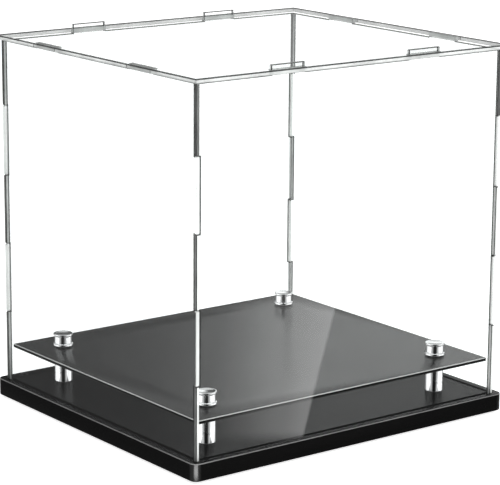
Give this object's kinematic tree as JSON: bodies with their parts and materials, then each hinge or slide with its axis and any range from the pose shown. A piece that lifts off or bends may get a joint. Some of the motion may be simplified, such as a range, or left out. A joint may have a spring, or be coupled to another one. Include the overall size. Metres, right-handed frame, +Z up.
{
  "type": "display case",
  "caption": "Clear lift-off cover over a black base, with a raised black shelf on screwed standoffs, for showing a helmet or a ball.",
  "frame": {"origin": "middle of the footprint, on the surface that the feet stand on", "axes": "+Z up, -Y out of the front wall, +X to the right seen from the front"},
  "size_m": [0.412, 0.372, 0.4063],
  "materials": {
    "base_black": "gloss",
    "shelf_black": "polished",
    "chrome": "polished",
    "steel": "satin",
    "rubber": "matte",
    "soft_washer": "satin",
    "clear_acrylic": "polished"
  },
  "bodies": {
    "base": {"base_board": "base_black", "foot_1": "rubber", "foot_2": "rubber", "foot_3": "rubber", "foot_4": "rubber", "base_screw_1": "steel", "base_screw_2": "steel", "base_screw_3": "steel", "base_screw_4": "steel", "standoff_1": "chrome", "standoff_2": "chrome", "standoff_3": "chrome", "standoff_4": "chrome", "lower_washer_1": "soft_washer", "lower_washer_2": "soft_washer", "lower_washer_3": "soft_washer", "lower_washer_4": "soft_washer", "shelf": "shelf_black", "stud_1": "steel", "stud_2": "steel", "stud_3": "steel", "stud_4": "steel"},
    "cover": {"front_wall": "clear_acrylic", "back_wall": "clear_acrylic", "left_wall": "clear_acrylic", "right_wall": "clear_acrylic", "top_panel": "clear_acrylic"},
    "washer_1": {"upper_washer_1": "soft_washer"},
    "screw_cap_1": {"cap_1": "chrome"},
    "washer_2": {"upper_washer_2": "soft_washer"},
    "screw_cap_2": {"cap_2": "chrome"},
    "washer_3": {"upper_washer_3": "soft_washer"},
    "screw_cap_3": {"cap_3": "chrome"},
    "washer_4": {"upper_washer_4": "soft_washer"},
    "screw_cap_4": {"cap_4": "chrome"}
  },
  "joints": [
    {"name": "cover_lift", "type": "slide", "parent": "base", "child": "cover", "axis": [0, 0, 1], "range_m": [0, 0.4]},
    {"name": "cap_1_rise", "type": "slide", "parent": "base", "child": "washer_1", "axis": [0, 0, 1], "range_m": [0, 0.0091]},
    {"name": "cap_1_turn", "type": "hinge", "parent": "washer_1", "child": "screw_cap_1", "pos_m": [-0.153, -0.133, 0.062], "axis": [0, 0, 1], "range_deg": [0, 3240]},
    {"name": "cap_2_rise", "type": "slide", "parent": "base", "child": "washer_2", "axis": [0, 0, 1], "range_m": [0, 0.0091]},
    {"name": "cap_2_turn", "type": "hinge", "parent": "washer_2", "child": "screw_cap_2", "pos_m": [0.153, -0.133, 0.062], "axis": [0, 0, 1], "range_deg": [0, 3240]},
    {"name": "cap_3_rise", "type": "slide", "parent": "base", "child": "washer_3", "axis": [0, 0, 1], "range_m": [0, 0.0091]},
    {"name": "cap_3_turn", "type": "hinge", "parent": "washer_3", "child": "screw_cap_3", "pos_m": [0.153, 0.133, 0.062], "axis": [0, 0, 1], "range_deg": [0, 3240]},
    {"name": "cap_4_rise", "type": "slide", "parent": "base", "child": "washer_4", "axis": [0, 0, 1], "range_m": [0, 0.0091]},
    {"name": "cap_4_turn", "type": "hinge", "parent": "washer_4", "child": "screw_cap_4", "pos_m": [-0.153, 0.133, 0.062], "axis": [0, 0, 1], "range_deg": [0, 3240]}
  ],
  "couplings": [
    {"joint": "cap_1_rise", "follows": "cap_1_turn", "m_per_rad": 0.00015915},
    {"joint": "cap_2_rise", "follows": "cap_2_turn", "m_per_rad": 0.00015915},
    {"joint": "cap_3_rise", "follows": "cap_3_turn", "m_per_rad": 0.00015915},
    {"joint": "cap_4_rise", "follows": "cap_4_turn", "m_per_rad": 0.00015915}
  ]
}
